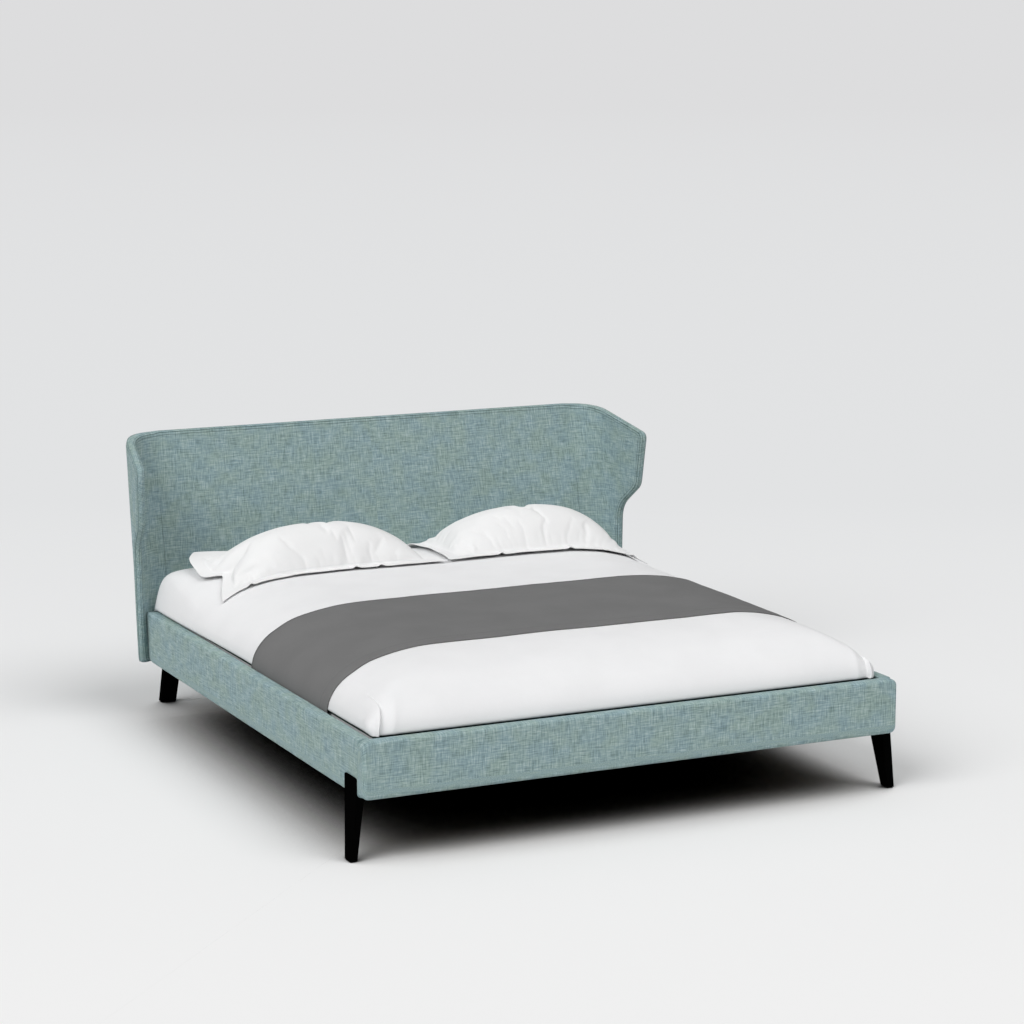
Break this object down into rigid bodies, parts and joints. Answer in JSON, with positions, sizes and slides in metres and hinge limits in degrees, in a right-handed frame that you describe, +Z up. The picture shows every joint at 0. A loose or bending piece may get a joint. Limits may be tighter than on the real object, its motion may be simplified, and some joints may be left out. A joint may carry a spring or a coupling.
{
  "type": "upholstered double bed",
  "caption": "Padded double bed with a raked winged headboard, slim dark plank legs, slatted bases, mattress, bedding, cloth runner and loose flanged pillows.",
  "frame": {"origin": "on the floor under the middle of the whole bed's bounding box", "axes": "+X to the right seen from the foot of the bed, +Y from the foot towards the headboard, +Z up"},
  "size_m": [2.073, 2.2828, 1.03],
  "materials": {
    "upholstery": "heathered woven linen-look upholstery cloth, matt",
    "frame_timber": "plain softwood, sanded",
    "base_timber": "planed softwood",
    "slat_birch": "pressed birch ply, satin",
    "holder_rubber": "moulded, matt",
    "leg_lacquer": "black lacquer, satin",
    "glide_felt": "matt",
    "fitting_steel": "powder coated, fine texture",
    "beam_paint": "powder coated, satin",
    "fixing_zinc": "zinc plated",
    "foot_plastic": "moulded, matt",
    "mattress_ticking": "knitted ticking",
    "bedding_cotton": "plain white cotton, matt",
    "runner_cloth": "plain mid grey cotton, matt",
    "pillow_cotton": "plain white cotton, matt"
  },
  "bodies": {
    "frame_body": {"beam_hangers": "fitting_steel", "bracket_screws": "fixing_zinc", "centre_beam": "beam_paint", "centre_supports": "beam_paint", "corner_brackets": "fitting_steel", "foot_rail_core": "frame_timber", "foot_rail_padding": "upholstery", "hanger_screws": "fixing_zinc", "head_rail": "frame_timber", "headboard_back_panel": "upholstery", "headboard_bolts": "fixing_zinc", "headboard_core": "frame_timber", "headboard_padding": "upholstery", "ledge_screws": "fixing_zinc", "left_base_ends": "base_timber", "left_base_sides": "base_timber", "left_front_leg": "leg_lacquer", "left_ledge": "fitting_steel", "left_rail_core": "frame_timber", "left_rail_padding": "upholstery", "left_rear_leg": "leg_lacquer", "left_slat_holders": "holder_rubber", "left_slats": "slat_birch", "left_wing_core": "frame_timber", "left_wing_padding": "upholstery", "leg_bolts": "fixing_zinc", "leg_glides": "glide_felt", "right_base_ends": "base_timber", "right_base_sides": "base_timber", "right_front_leg": "leg_lacquer", "right_ledge": "fitting_steel", "right_rail_core": "frame_timber", "right_rail_padding": "upholstery", "right_rear_leg": "leg_lacquer", "right_slat_holders": "holder_rubber", "right_slats": "slat_birch", "right_wing_core": "frame_timber", "right_wing_padding": "upholstery"},
    "mattress_body": {"mattress": "mattress_ticking", "mattress_cover": "bedding_cotton", "bed_runner": "runner_cloth"},
    "left_pillow_body": {"left_pillow": "pillow_cotton"},
    "right_pillow_body": {"right_pillow": "pillow_cotton"},
    "front_foot_body": {"front_levelling_foot": "foot_plastic"},
    "rear_foot_body": {"rear_levelling_foot": "foot_plastic"}
  },
  "joints": [
    {"name": "mattress_lift", "type": "slide", "parent": "frame_body", "child": "mattress_body", "axis": [0, 0, 1], "range_m": [0, 0.3]},
    {"name": "left_pillow_lift", "type": "slide", "parent": "mattress_body", "child": "left_pillow_body", "axis": [0, 0, 1], "range_m": [0, 0.3]},
    {"name": "right_pillow_lift", "type": "slide", "parent": "mattress_body", "child": "right_pillow_body", "axis": [0, 0, 1], "range_m": [0, 0.3]},
    {"name": "front_foot_adjust", "type": "slide", "parent": "frame_body", "child": "front_foot_body", "axis": [0, 0, 1], "range_m": [0, 0.01]},
    {"name": "rear_foot_adjust", "type": "slide", "parent": "frame_body", "child": "rear_foot_body", "axis": [0, 0, 1], "range_m": [0, 0.01]}
  ]
}
